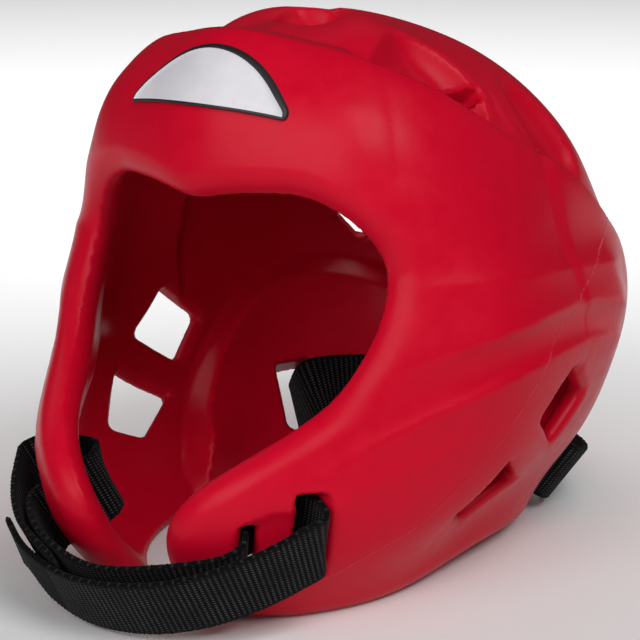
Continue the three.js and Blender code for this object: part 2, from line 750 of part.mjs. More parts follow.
// Pieces of the guard
const PIECES = [
  { name: "shell", mesh: shellMesh(), color: 0xb3001b, roughness: 0.42 },
  { name: "badge", mesh: badgeMesh(), color: 0xe6e6ea, roughness: 0.6 },
  { name: "chin_strap", mesh: strapMesh(CHIN_STRAP), color: 0x0c0c0e, roughness: 0.85 },
  { name: "nape_strap", mesh: strapMesh(NAPE_STRAP), color: 0x0c0c0e, roughness: 0.85 },
];

const headGuard = new THREE.Group();
headGuard.name = "head_guard";
for (const piece of PIECES) {
  const material = new THREE.MeshStandardMaterial({
    color: piece.color,
    roughness: piece.roughness,
    metalness: 0,
  });
  const mesh = new THREE.Mesh(geometryOf(piece.mesh), material);
  mesh.name = piece.name;
  headGuard.add(mesh);
}

export default headGuard;
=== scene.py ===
"""Looks of the head guard: a fine foam shell, a bare brow badge and two woven straps."""

import math

import bpy
import numpy as np
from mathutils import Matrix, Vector


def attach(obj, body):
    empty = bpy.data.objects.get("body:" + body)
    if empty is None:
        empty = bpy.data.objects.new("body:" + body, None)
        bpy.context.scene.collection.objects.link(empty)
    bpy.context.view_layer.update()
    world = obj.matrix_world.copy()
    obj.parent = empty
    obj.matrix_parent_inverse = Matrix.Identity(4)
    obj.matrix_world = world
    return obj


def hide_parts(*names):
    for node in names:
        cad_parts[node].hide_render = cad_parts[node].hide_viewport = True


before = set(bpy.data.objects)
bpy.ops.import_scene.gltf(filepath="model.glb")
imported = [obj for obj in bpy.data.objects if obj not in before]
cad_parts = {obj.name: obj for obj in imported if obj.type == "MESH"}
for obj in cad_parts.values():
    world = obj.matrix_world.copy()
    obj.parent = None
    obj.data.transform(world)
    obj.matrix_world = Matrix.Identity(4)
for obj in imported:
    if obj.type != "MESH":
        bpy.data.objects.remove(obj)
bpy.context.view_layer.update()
MM = 0.001

# Form of the head: distances from the head centre to the outer face
HEAD_CENTRE = np.array([0.0, 13.9, 90.0])
LOWEST_ANGLE = -60
ANGLE_STEP = 15
COLUMN_SPREAD = 1.0
FORM_COLUMNS = ("front", "cheek", "front_side", "temple", "ear", "back")
FORM = np.array([
    (168, 159, 143, 127, 120, 126.5),
    (148, 138, 121, 102.5, 103, 113.5),
    (147.5, 136.5, 118.5, 103.5, 100.5, 115.5),
    (143, 131, 111, 102, 99.5, 118.5),
    (122.5, 115.5, 106, 100, 99.5, 119.5),
    (110, 107, 103, 99.5, 96, 112.5),
    (109, 108.5, 108.5, 101, 98, 108),
    (116.5, 115, 114.5, 104, 98.5, 105.5),
    (119, 115, 112.5, 106, 101, 103),
    (110.5, 110, 111, 108, 103, 102.5),
    (105, 105, 105, 105, 105, 105),
], float)
WALL = 17.0
DEEPEST = 40.0
RIM_ROUND = 7.8
FLOOR_EDGE = 0.6
SLOPE_STEP = 0.5

# Face opening, the bevelled band round it, and the bottom rim
OPENING_LOWEST = -15
OPENING_STEP = 15
OPENING_HALF_WIDTHS = np.array([14, 14, 14, 16, 23, 38.5, 55.5, 63, 65.5, 64.5, 62, 60], float)
OPENING_LEAN_STEP = 0.05
BROW_HEIGHT = 141
BROW_ARCH = 3
BROW_PEAK_WIDTH = 14
BROW_CORNER = 28
OPENING_BACK = -12
RIM_DEPTH = -2.5
RIM_ARCH = 6
RIM_ARCH_MIDDLE = 0
RIM_ARCH_LENGTH = 42
BAND_WIDTH = 25
BAND_DROP = 4.8
BAND_SOFT = 0.9

# Upper lip of the panel: its height angle at even turns, then the ledge, cap and groove behind it
LIP_STEP = 20
LIP_ANGLES = np.array([59, 59.2, 56.6, 51.8, 44.4, 35, 20, 5, -4, -8], float)
LIP_PROUD = 2.8
LIP_PROUD_WIDTH = 15
LIP_CREASE = 0.5
LEDGE_FRONT = 9
LEDGE_SIDE = 3.5
LEDGE_TURNS = (38, 56)
LEDGE_DROP = 2.0
STEP_WIDTH = 3.0
CAP_DROP = 5.6
CAP_FADE = 45
GROOVE_DEPTH = 4.5
GROOVE_FADE = 9
GROOVE_TURNS = (36, 52)
GROOVE_END_TURNS = (90, 112)
LIP_FADE_START = 112
LIP_FADE_END = 150

# Scooped bowls of the vents: middle, half lengths before, behind, below and above it, depth
SCOOPS = (
    {"turn": 0, "angle": 84.5, "before": 14, "behind": 14, "below": 7, "above": 20, "depth": 7.5},
    {"turn": 82, "angle": 53, "before": 36, "behind": 15, "below": 16, "above": 34, "depth": 9.5},
    {"turn": 118, "angle": 34, "before": 14, "behind": 16, "below": 14, "above": 34, "depth": 7},
)
CHEEK_DISH = {"turn": 26.5, "angle": -26, "before": 17, "behind": 15, "below": 18, "above": 14, "depth": 2.2}
SCOOP_EDGE = 0.1
SCOOP_START = 1
SCOOP_WALL = 4

# Limits of the relief, and the least wall between it and the pocket inside
DEEPEST_RELIEF = 13
RELIEF_BEND = 1.5
THINNEST_WALL = 4

# Side folds: start and end turn, height angle at four even turns, height, fade above and below the line
FOLDS = (
    {"start": 40, "end": 128, "angles": (14.5, 14, 12, 6), "height": 1.5, "above": 4, "below": 8},
    {"start": 40, "end": 128, "angles": (-1.5, 4, 4.5, -4), "height": 3.2, "above": 13, "below": 3.5},
    {"start": 24, "end": 126, "angles": (-19, -8, -3.5, -9), "height": 2.8, "above": 3.5, "below": 18},
)
FOLD_CREST = 1.3
FOLD_GROWTH = 34
FOLD_ENDS = 14

# Upright crease of the panel: its turn, its height angles, depth, and fade before and behind it
CREASE_TURN = 48
CREASE_LOW = 36
CREASE_HIGH = 56
CREASE_DEPTH = 1.3
CREASE_BEFORE = 8
CREASE_BEHIND = 26
CREASE_ROUND = 1.0
CREASE_LOW_FADE = 8
CREASE_HIGH_FADE = 5

# Pocket inside, over the ears and round the thick nape pad: the pad's upper edge at even turns
POCKET_DEPTH = 10.5
POCKET_FROM_OPENING = (12, 30)
POCKET_FROM_FLOOR = (0, 18)
POCKET_TOP = 18
POCKET_TOP_FADE = 22
POCKET_EDGE = 11
PAD_FIRST_TURN = 60
PAD_STEP = 20
PAD_ANGLES = np.array([-64, -49, -34, -17, -10.5, -14, -16], float)

# Holes through the wall: middle, rounding of the corners and edges, lean, corners along and up the wall
HOLES = (
    {"name": "upper ear hole", "turn": 93.5, "angle": -17.5, "corner": 3.0, "edge": 3.6,
     "corners": ((0, 16), (18, 0), (1.5, -15), (-18.5, 0))},
    {"name": "lower ear hole", "turn": 71, "angle": -32.3, "corner": 2.5, "edge": 3.6,
     "corners": ((2, 15.5), (22, -1), (-1, -13.5), (-15, -5))},
    {"name": "hole at the side of the back", "turn": 151, "angle": 4, "corner": 3.0, "edge": 2.4,
     "corners": ((0, 10), (12, 0), (-4, -12), (-14, 0))},
    {"name": "front strap slot", "turn": 21, "angle": -27, "corner": 2.0, "edge": 2.4,
     "corners": ((-1.7, 12.8), (3.6, 12.8), (2.0, -15.5), (-1.9, -15.5))},
    {"name": "rear strap slot", "turn": 31.5, "angle": -25, "corner": 2.0, "edge": 2.4, "lean": 0.35,
     "corners": ((-5, 14.5), (5.5, 14.5), (6, -17), (-5, -17))},
    {"name": "nape strap hole", "turn": 129, "angle": -42, "corner": 2.5, "edge": 2.4,
     "corners": ((-7, 17), (9.5, 18), (7, -15), (-9, -10))},
    {"name": "front vent", "turn": 0, "angle": 84.5, "corner": 2.0, "edge": 1.2,
     "corners": ((-7, 3), (7, 3), (7, -3), (-7, -3))},
    {"name": "side vent", "turn": 89, "angle": 57, "corner": 1.5, "edge": 1.2,
     "corners": ((-6.4, 8.4), (9.6, -4.6), (6.4, -8.4), (-9.6, 4.6))},
    {"name": "rear vent", "turn": 116, "angle": 35, "corner": 1.5, "edge": 1.2,
     "corners": ((-8, 5), (6, 3), (6, -3), (-8, -1))},
)
HOLE_REACH = 34.0
HOLE_NEAR = 48.0

# Grid that the shell is sampled on, and how far past the outer face it is looked at
SHELL_CELL = 1.9
GRID_LOW = np.array([-66 * SHELL_CELL, -124.0, -5.0])
GRID_HIGH = np.array([66 * SHELL_CELL, 144.0, 206.0])
GRID_PAST_FACE = 9
SETTLE_STEP = 0.25
LEAST_STEEP = 0.1
NORMAL_STEP = 0.2
CHUNK = 200000

# Badge on the brow
BADGE_HALF_WIDTH = 32.8
BADGE_RISE = 19
BADGE_SAG = 3
BADGE_BOTTOM = 168
BADGE_EDGE_HEIGHT = 1.3
BADGE_FACE_HEIGHT = BADGE_EDGE_HEIGHT - 0.1
BADGE_END = 3
BADGE_POINTS = 180
BADGE_OUTLINE_STEPS = 25
BADGE_CORNER_PASSES = 3
BROW_PASSES = 60
BROW_PACE = 0.7

# Rings of the badge: inset and height over the brow, then shares of the way out from its middle
BADGE_RIM = (
    (0, -0.4),
    (0, 0.8),
    (0.25, 1.15),
    (0.5, BADGE_EDGE_HEIGHT),
    (1.1, BADGE_EDGE_HEIGHT),
    (1.2, BADGE_FACE_HEIGHT),
)
BADGE_SHARES = (0.9, 0.75, 0.6, 0.45, 0.3, 0.15, 0.05)

# Faint raised line left by the mould: turns and height angles
MOULD_LINE = (
    (33, -34),
    (43, -31),
    (51, -29),
    (64, -21),
    (70, -16),
    (83, -1),
    (91, 4),
    (98, 8),
    (113, 13),
    (126, 17),
)
MOULD_LINE_SPAN = 12
MM_PER_DEGREE = 1.75
FAR_FROM_LINE = 9.0
LINE_DEPTH = WALL / 5

# Straps: turn from the front, height angle, height over the plain outer face
STRAP_WIDTH = 25.0
STRAP_THICK = 2.0
CHIN_STRAP = (
    (-16.8, -26.3, 13.2),
    (-10, -28, 13),
    (-2, -28.8, 12.6),
    (7, -28.6, 12),
    (14.5, -28, 11),
    (22, -27.1, 8.6),
    (28, -26.4, 5.4),
    (32.4, -25.8, 1.8),
    (32.4, -25.5, -5),
    (29, -25.2, -18.6),
    (26.6, -28, -22.8),
    (23.4, -30.6, -22.6),
    (21.4, -28.7, -18.8),
    (20.9, -28.1, -9),
    (20.4, -28.1, -1.5),
    (18.2, -28.1, 2.8),
    (13, -28, 5),
    (0, -28.6, 6.4),
    (-13, -28, 5),
    (-20.4, -28, 0.6),
    (-21.2, -27.9, -8),
    (-22, -27.8, -18.8),
    (-24.4, -27.8, -22.8),
    (-27, -27.2, -22.8),
    (-29, -26.4, -18.6),
    (-32.4, -25.5, -5),
    (-32.4, -25.8, 1.8),
    (-26, -26.6, 5.6),
    (-16, -27.6, 8.6),
    (-6, -28.4, 9.4),
)
NAPE_STRAP = (
    (-160, -38.4, 14),
    (180, -37.8, 14),
    (158, -38.8, 13.2),
    (143, -40, 11.4),
    (135, -41, 8),
    (130.6, -41.2, 3),
    (130.4, -41.4, -8),
    (133, -40, -18.4),
    (141, -39.4, -20.8),
    (160, -39, -21.4),
    (180, -39, -21.4),
    (-160, -39, -21.4),
    (-141, -39.4, -20.8),
    (-133, -40, -18.4),
    (-131.6, -41.4, -8),
    (-133, -41.9, 1.4),
    (-136.6, -41.6, 5.4),
    (-144, -40.6, 8),
    (-158, -39.4, 9.8),
    (180, -38.6, 10.6),
    (168, -39, 10.4),
)
STRAP_SPAN = 40
STRAP_STEP = 0.475
STRAP_COLUMNS = 17
SELVEDGE = 0.6
SELVEDGE_TIP = 0.15
SELVEDGE_THICK = 0.7
SELVEDGE_RIB = 0.3
FRAYED = 0.5
FRAY = 0.13
FRAY_SEED = 7
RIB_PITCH = 1.9
RIB_HEIGHT = 0.32
RIB_MIDDLE = 0.6
STITCH_PITCH = 1.1
END_TAPER = 1.5
END_THICK = 0.35
EDGE_WEAVE = (10.5, 11.4)

# Smooth stretch of webbing in the place of a sewn tab
TAB_START = 7
TAB_END = 30

# Colours and shine of the materials
FOAM_RED = (0.53, 0.0018, 0.018, 1)
FOAM_LIGHT_RED = (0.58, 0.0026, 0.022, 1)
SCUFF_RED = (0.66, 0.03, 0.05, 1)
MOULD_LINE_RED = (0.68, 0.02, 0.04, 1)
FOAM_ROUGHNESS = 0.42
FOAM_SHINE = 0.12
SCUFF_SCALE = (70, 70, 14)
SCUFF_TURN = (0.3, 0.5, 0.2)
WEBBING_BLACK = (0.0012, 0.0012, 0.0015, 1)
STITCH_GREY = (0.12, 0.12, 0.13, 1)
WEBBING_ROUGHNESS = 0.7
WEBBING_SHINE = 0.08
STITCH_SLANT = 0.4
STITCH_SHIFT = 0.5
BADGE_GREY = (0.64, 0.62, 0.66, 1)
BADGE_WHITE = (0.72, 0.70, 0.74, 1)
BADGE_BLACK = (0.008, 0.008, 0.01, 1)
BADGE_DARK_GREY = (0.014, 0.014, 0.016, 1)
BADGE_ROUGHNESS = 0.5
BADGE_WEAVE = 9000.0
FLOOR_GREY = (0.84, 0.84, 0.84, 1)
FLOOR_ROUGHNESS = 0.8
FLOOR_HALF = 4
WORLD_WHITE = (1, 1, 1, 1)
WORLD_STRENGTH = 0.04

# Camera: side, height, distance and target in metres, and its lens for a picture of a given size
CAMERA_AZIMUTH = 35.5
CAMERA_ELEVATION = 15
CAMERA_DISTANCE = 0.830
CAMERA_TARGET = Vector((0, 0.0089, 0.080))
SENSOR_WIDTH = 36
PICTURE_PIXELS = 640
FOCAL_PIXELS = 2240
MIDDLE_PIXELS = -11

MIRRORED = True
STRAIGHT = False


# Smooth curves through evenly spaced values
def with_ends(values, mirrored):
    before = values[1] if mirrored else 2 * values[0] - values[1]
    after = values[-2] if mirrored else 2 * values[-1] - values[-2]
    return np.concatenate([[before], values, [after]])


def curve_controls(values, mirrored):
    controls = values.copy()
    for _ in range(24):
        wide = with_ends(controls, mirrored)
        controls = controls + values - (wide[:-2] + 4 * wide[1:-1] + wide[2:]) / 6
    return with_ends(controls, mirrored)


def curve_weights(place, count):
    held = np.clip(place, 0, count - 1 - 1e-9)
    start = np.minimum(held.astype(int), count - 2)
    f = held - start
    weights = (
        (1 - f) ** 3 / 6,
        (3 * f**3 - 6 * f**2 + 4) / 6,
        (-3 * f**3 + 3 * f**2 + 3 * f + 1) / 6,
        f**3 / 6,
    )
    return start, weights


def curve_at(controls, place):
    start, weights = curve_weights(np.asarray(place, float), len(controls) - 2)
    return sum(w * controls[start + k] for k, w in enumerate(weights))


UPRIGHT_CONTROLS = curve_controls(FORM, STRAIGHT)
FORM_CONTROLS = curve_controls(UPRIGHT_CONTROLS.T, MIRRORED).T
OPENING_CONTROLS = curve_controls(OPENING_HALF_WIDTHS, STRAIGHT)
LIP_CONTROLS = curve_controls(LIP_ANGLES, MIRRORED)
FOLD_CONTROLS = [curve_controls(np.array(fold["angles"], float), STRAIGHT) for fold in FOLDS]
PAD_CONTROLS = curve_controls(PAD_ANGLES, STRAIGHT)


# Plain outer face of the head form
def direction(p):
    x = np.abs(p[:, 0] - HEAD_CENTRE[0])
    y = p[:, 1] - HEAD_CENTRE[1]
    z = p[:, 2] - HEAD_CENTRE[2]
    reach = np.sqrt(x * x + y * y + z * z) + 1e-9
    turn = np.arctan2(x, -y)
    angle = np.degrees(np.arcsin(np.clip(z / reach, -1, 1)))
    return reach, turn, angle


def outer_radius(turn, angle):
    across = len(FORM_COLUMNS) - 1
    column_place = across * turn / math.pi + COLUMN_SPREAD * np.sin(turn)
    row, row_weights = curve_weights((angle - LOWEST_ANGLE) / ANGLE_STEP, len(FORM))
    column, column_weights = curve_weights(column_place, len(FORM_COLUMNS))
    flat = FORM_CONTROLS.ravel()
    wide = FORM_CONTROLS.shape[1]
    total = np.zeros_like(turn)
    for i, row_weight in enumerate(row_weights):
        first = (row + i) * wide + column
        part = sum(w * flat[first + j] for j, w in enumerate(column_weights))
        total += row_weight * part
    return total


def rough_depth(p):
    reach, turn, angle = direction(p)
    return reach - outer_radius(turn, angle)


def outer_face(p):
    """Height over the plain outer face, the same along the radius, and the way out."""
    slope = np.empty_like(p)
    for axis in range(3):
        step = np.zeros(3)
        step[axis] = SLOPE_STEP
        slope[:, axis] = (rough_depth(p + step) - rough_depth(p - step)) / (2 * SLOPE_STEP)
    steep = np.sqrt((slope * slope).sum(1))
    rough = rough_depth(p)
    return rough / steep, rough, slope / steep[:, None]


def face_place(turn_degrees, angle_degrees, side=1):
    """Point on the plain outer face, with its axes along, up and out of the wall."""
    turn = math.radians(turn_degrees)
    angle = math.radians(angle_degrees)
    reach = outer_radius(np.array([turn]), np.array([float(angle_degrees)]))[0]
    level = reach * math.cos(angle)
    offset = np.array([side * level * math.sin(turn), -level * math.cos(turn), reach * math.sin(angle)])
    point = HEAD_CENTRE + offset
    out = outer_face(point[None])[2][0]
    along = side * np.array([-out[1], out[0], 0.0])
    along /= np.linalg.norm(along)
    up = side * np.cross(out, along)
    return point, along, up, out


# Building blocks of the field
def rounded_max(a, b, radius):
    """Like max(a, b), with the edge between them rounded."""
    u = np.maximum(a + radius, 0)
    v = np.maximum(b + radius, 0)
    return np.minimum(np.maximum(a, b), -radius) + np.sqrt(u * u + v * v)


def smooth_step(start, end, value):
    t = np.clip((value - start) / (end - start), 0, 1)
    return t * t * (3 - 2 * t)


def soft_floor(value, soft):
    """Like max(value, 0), with a bend of a given size."""
    return 0.5 * (value + np.sqrt(value * value + soft * soft))


def face_opening(p):
    """Distance from the face opening, below zero inside it."""
    x = np.abs(p[:, 0])
    z = p[:, 2]
    place = (z - OPENING_LOWEST) / OPENING_STEP
    half = curve_at(OPENING_CONTROLS, place)
    wider = curve_at(OPENING_CONTROLS, place + OPENING_LEAN_STEP)
    lean = wider - curve_at(OPENING_CONTROLS, place - OPENING_LEAN_STEP)
    side = (x - half) / np.hypot(1, lean / (2 * OPENING_LEAN_STEP * OPENING_STEP))
    brow = BROW_HEIGHT + BROW_ARCH * (1 - np.exp(-((x / BROW_PEAK_WIDTH) ** 2)))
    return np.maximum(rounded_max(side, z - brow, BROW_CORNER), p[:, 1] - HEAD_CENTRE[1] - OPENING_BACK)


# Relief of the outer face
def behind_lip(turn, angle, radius):
    """Distance behind the lip, and the width of its ledge."""
    above = np.radians(angle - curve_at(LIP_CONTROLS, turn / LIP_STEP)) * radius
    ledge = LEDGE_FRONT + (LEDGE_SIDE - LEDGE_FRONT) * smooth_step(*LEDGE_TURNS, turn)
    return above, ledge


def lip_relief(turn, angle, radius):
    above, ledge = behind_lip(turn, angle, radius)
    sideways = smooth_step(*LEDGE_TURNS, turn)
    first_drop = LEDGE_DROP + (CAP_DROP - LEDGE_DROP) * sideways
    edge = np.minimum(soft_floor(above, LIP_CREASE) / ledge, 1)
    step = smooth_step(ledge, ledge + STEP_WIDTH, above)
    proud = LIP_PROUD * np.exp(-((np.minimum(above, 0) / LIP_PROUD_WIDTH) ** 2)) * (1 - edge)
    beyond = np.maximum(above - ledge, 0)
    cap = (edge * first_drop + step * (CAP_DROP - first_drop)) * np.exp(-beyond / CAP_FADE)
    grooved = smooth_step(*GROOVE_TURNS, turn) * (1 - smooth_step(*GROOVE_END_TURNS, turn))
    groove = GROOVE_DEPTH * grooved * edge * np.exp(-beyond / GROOVE_FADE)
    strength = 1 - smooth_step(LIP_FADE_START, LIP_FADE_END, turn)
    return strength * (proud - cap - groove)


SCOOP_PLACES = [face_place(scoop["turn"], scoop["angle"]) for scoop in SCOOPS]
DISH_PLACE = face_place(CHEEK_DISH["turn"], CHEEK_DISH["angle"])


def bowl_depth(p, scoop, place):
    point, along_axis, up_axis, out_axis = place
    q = p - point
    along = q @ along_axis
    up = q @ up_axis
    across = along / np.where(along > 0, scoop["behind"], scoop["before"])
    rise = up / np.where(up > 0, scoop["above"], scoop["below"])
    bowl = soft_floor(1 - across**2 - rise**2, SCOOP_EDGE)
    return np.where(q @ out_axis > -DEEPEST, scoop["depth"] * bowl * (2 - bowl), 0)


def scoop_relief(p, turn, angle, radius):
    folded = p.copy()
    folded[:, 0] = np.abs(folded[:, 0])
    scooped = sum(bowl_depth(folded, scoop, place) for scoop, place in zip(SCOOPS, SCOOP_PLACES))
    above, ledge = behind_lip(turn, angle, radius)
    scooped *= smooth_step(ledge - SCOOP_START, ledge + SCOOP_WALL, above)
    return -scooped - bowl_depth(folded, CHEEK_DISH, DISH_PLACE)


def crest(distance, fade, rounding):
    """Height that falls off from one on a line, with a rounded top."""
    return np.exp(-(np.sqrt(distance * distance + rounding * rounding) - rounding) / fade)


def fold_relief(turn, angle, radius):
    height = np.zeros_like(turn)
    for fold, controls in zip(FOLDS, FOLD_CONTROLS):
        along = (turn - fold["start"]) / (fold["end"] - fold["start"])
        above = np.radians(angle - curve_at(controls, (len(fold["angles"]) - 1) * along)) * radius
        ends = smooth_step(fold["start"], fold["start"] + FOLD_GROWTH, turn)
        ends *= 1 - smooth_step(fold["end"] - FOLD_ENDS, fold["end"], turn)
        fade = np.where(above > 0, fold["above"], fold["below"])
        height += fold["height"] * ends * crest(above, fade, FOLD_CREST)
    return height


def crease_relief(turn, angle, radius):
    behind = np.radians(turn - CREASE_TURN) * radius * np.cos(np.radians(angle))
    fade = np.where(behind > 0, CREASE_BEHIND, CREASE_BEFORE)
    window = smooth_step(CREASE_LOW - CREASE_LOW_FADE, CREASE_LOW, angle)
    window *= 1 - smooth_step(CREASE_HIGH, CREASE_HIGH + CREASE_HIGH_FADE, angle)
    return -CREASE_DEPTH * window * crest(behind, fade, CREASE_ROUND)


def pocket_relief(turn, angle, radius, from_opening, from_floor):
    """How much thinner the wall is from inside."""
    pad = curve_at(PAD_CONTROLS, (turn - PAD_FIRST_TURN) / PAD_STEP)
    above = np.radians(angle - pad) * radius
    share = smooth_step(0, POCKET_EDGE, above)
    share *= smooth_step(*POCKET_FROM_OPENING, from_opening) * smooth_step(*POCKET_FROM_FLOOR, from_floor)
    share *= 1 - smooth_step(POCKET_TOP, POCKET_TOP + POCKET_TOP_FADE, angle)
    return POCKET_DEPTH * share


def band_relief(from_opening):
    return -BAND_DROP * soft_floor(1 - np.maximum(from_opening, 0) / BAND_WIDTH, BAND_SOFT / BAND_WIDTH)


# Holes
HOLE_PLACES = [face_place(hole["turn"], hole["angle"]) for hole in HOLES]


def hole_depth(p, hole, place):
    """Distance from the walls of a hole, below zero inside it."""
    point, along_axis, up_axis, out_axis = place
    q = p - point
    out = q @ out_axis
    along = q @ along_axis - hole.get("lean", 0) * out
    up = q @ up_axis
    depth = None
    corners = hole["corners"]
    for i, (a, u) in enumerate(corners):
        next_a, next_u = corners[(i + 1) % len(corners)]
        length = math.hypot(next_a - a, next_u - u)
        normal = (-(next_u - u) / length, (next_a - a) / length)
        side = (along - a) * normal[0] + (up - u) * normal[1]
        depth = side if depth is None else rounded_max(depth, side, hole["corner"])
    return np.maximum(depth, np.maximum(-HOLE_REACH - out, out - HOLE_REACH / 2))


# Finished shell
def shell_field(p):
    """Rough distance from the shell's surface, below zero in the foam."""
    depth, rough, out = outer_face(p)
    middle = p - out * (depth + WALL / 2)[:, None]
    from_opening = face_opening(middle)
    reach, turn, angle = direction(p)
    radius = reach - rough
    turn = np.degrees(turn)
    relief = lip_relief(turn, angle, radius) + fold_relief(turn, angle, radius)
    relief += crease_relief(turn, angle, radius) + band_relief(from_opening)
    relief += scoop_relief(p, turn, angle, radius)
    relief = soft_floor(relief + DEEPEST_RELIEF, RELIEF_BEND) - DEEPEST_RELIEF
    outside = depth - relief
    spare = WALL - THINNEST_WALL + np.minimum(relief, 0)
    pocket = pocket_relief(turn, angle, radius, from_opening, p[:, 2])
    inside = -depth - WALL + spare - soft_floor(spare - pocket, RELIEF_BEND)
    from_arch = (p[:, 1] - HEAD_CENTRE[1] - RIM_ARCH_MIDDLE) / RIM_ARCH_LENGTH
    rim = RIM_DEPTH + RIM_ARCH * np.exp(-(from_arch**2))
    solid = rounded_max(np.maximum(outside, inside), -from_opening, RIM_ROUND)
    solid = rounded_max(solid, rim - p[:, 2], RIM_ROUND)
    solid = rounded_max(solid, -p[:, 2], FLOOR_EDGE)
    folded = p.copy()
    folded[:, 0] = np.abs(folded[:, 0])
    for hole, place in zip(HOLES, HOLE_PLACES):
        near = np.linalg.norm(folded - place[0], axis=1) < HOLE_NEAR
        cut = -hole_depth(folded[near], hole, place)
        solid[near] = rounded_max(solid[near], cut, hole["edge"])
    return np.where(rough < -DEEPEST, DEEPEST, solid)


def in_chunks(field, p):
    return np.concatenate([field(p[i : i + CHUNK]) for i in range(0, len(p), CHUNK)])


def settled(field, v, most):
    """Points moved straight onto the field's zero surface."""
    value = field(v)
    slope = np.empty_like(v)
    for axis in range(3):
        step = np.zeros(3)
        step[axis] = SETTLE_STEP
        slope[:, axis] = (field(v + step) - value) / SETTLE_STEP
    steep = np.maximum((slope * slope).sum(1), LEAST_STEEP)
    move = -(value / steep)[:, None] * slope
    length = np.linalg.norm(move, axis=1, keepdims=True)
    return v + move * np.minimum(1, most / np.maximum(length, 1e-9))


def surface_net(values, low, cell):
    """Vertices and quads of the zero surface of a sampled field."""
    counts = np.array(values.shape)
    solid = values < 0
    cells = counts - 1
    corners = [(a, b, c) for a in (0, 1) for b in (0, 1) for c in (0, 1)]
    filled = sum(
        solid[a : a + cells[0], b : b + cells[1], c : c + cells[2]].astype(np.int8) for a, b, c in corners
    )
    index = np.argwhere((filled > 0) & (filled < 8))
    vertex_of = -np.ones(cells, int)
    vertex_of[tuple(index.T)] = np.arange(len(index))
    own = np.stack([values[tuple((index + np.array(c)).T)] for c in corners], 1)
    total = np.zeros((len(index), 3))
    crossed = np.zeros(len(index))
    for a in range(8):
        for b in range(a + 1, 8):
            apart = np.subtract(corners[b], corners[a])
            if np.abs(apart).sum() != 1:
                continue
            here = (own[:, a] < 0) != (own[:, b] < 0)
            t = own[here, a] / (own[here, a] - own[here, b])
            total[here] += np.array(corners[a]) + t[:, None] * apart
            crossed[here] += 1
    vertices = low + cell * (index + total / crossed[:, None])
    quads = []
    for axis in range(3):
        second, third = (axis + 1) % 3, (axis + 2) % 3
        start = [slice(None)] * 3
        after = [slice(None)] * 3
        start[axis] = slice(0, -1)
        after[axis] = slice(1, None)
        first_solid = solid[tuple(start)]
        edges = np.argwhere(first_solid != solid[tuple(after)])
        ring = []
        for back, down in ((1, 1), (0, 1), (0, 0), (1, 0)):
            owner = edges.copy()
            owner[:, second] -= back
            owner[:, third] -= down
            ring.append(vertex_of[tuple(owner.T)])
        quad = np.stack(ring, 1)
        turned = ~first_solid[tuple(edges.T)]
        quad[turned] = quad[turned][:, ::-1]
        quads.append(quad)
    return vertices, np.concatenate(quads)


def evened(v, quads):
    """Vertices drawn half way to the middle of their neighbours."""
    total = np.zeros_like(v)
    count = np.zeros(len(v))
    for k in range(4):
        for other in ((k + 1) % 4, (k + 3) % 4):
            np.add.at(total, quads[:, k], v[quads[:, other]])
            np.add.at(count, quads[:, k], 1)
    return (v + total / count[:, None]) / 2


def shell_surface():
    counts = np.ceil((GRID_HIGH - GRID_LOW) / SHELL_CELL).astype(int) + 1
    axes = [GRID_LOW[a] + SHELL_CELL * np.arange(counts[a]) for a in range(3)]
    grid = np.stack(np.meshgrid(*axes, indexing="ij"), -1).reshape(-1, 3)
    rough = in_chunks(rough_depth, grid)
    near = (rough > -2 * WALL) & (rough < GRID_PAST_FACE)
    values = np.full(len(grid), DEEPEST)
    values[near] = in_chunks(shell_field, grid[near])
    v, quads = surface_net(values.reshape(counts), GRID_LOW, SHELL_CELL)
    v = settled(shell_field, v, SHELL_CELL / 2)
    for _ in range(2):
        v = settled(shell_field, evened(v, quads), SHELL_CELL / 2)
    return v, quads


# Meshes
def mesh_object(name, vertices, faces, material):
    """Smooth mesh in metres, made of points in millimetres, that rides on the one body."""
    mesh = bpy.data.meshes.new(name)
    mesh.from_pydata((vertices * MM).tolist(), [], faces)
    mesh.validate()
    mesh.shade_smooth()
    mesh.materials.append(material)
    made = bpy.data.objects.new(name, mesh)
    bpy.context.scene.collection.objects.link(made)
    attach(made, "root")
    return made


# Straps
def smooth_line(points, per_span):
    """Points of a centripetal curve through given points."""
    wide = np.concatenate([[2 * points[0] - points[1]], points, [2 * points[-1] - points[-2]]])
    gaps = np.sqrt(np.linalg.norm(np.diff(wide, axis=0), axis=1))
    t = np.linspace(0, 1, per_span, endpoint=False)[:, None]
    line = []
    for i in range(len(points) - 1):
        a, b, c, d = wide[i : i + 4]
        d0, d1, d2 = gaps[i : i + 3]
        leave = ((b - a) / d0 - (c - a) / (d0 + d1) + (c - b) / d1) * d1
        meet = ((c - b) / d1 - (d - b) / (d1 + d2) + (d - c) / d2) * d1
        bend = 3 * (c - b) - 2 * leave - meet
        twist = 2 * (b - c) + leave + meet
        line.append(b + leave * t + bend * t**2 + twist * t**3)
    return np.concatenate([*line, points[-1:]])


def strap_line(rows):
    """Evenly spaced middle points of a strap, their widthwise axes, and the length run."""
    places = [face_place(abs(turn), angle, -1 if turn < 0 else 1) for turn, angle, _ in rows]
    points = np.array([place[0] + row[2] * place[3] for place, row in zip(places, rows)])
    ups = np.array([place[2] for place in places])
    fine = smooth_line(points, STRAP_SPAN)
    fine_up = smooth_line(ups, STRAP_SPAN)
    run = np.concatenate([[0], np.cumsum(np.linalg.norm(np.diff(fine, axis=0), axis=1))])
    even = np.linspace(0, run[-1], int(run[-1] / STRAP_STEP) + 1)
    line = np.stack([np.interp(even, run, fine[:, a]) for a in range(3)], 1)
    up = np.stack([np.interp(even, run, fine_up[:, a]) for a in range(3)], 1)
    return line, up, even


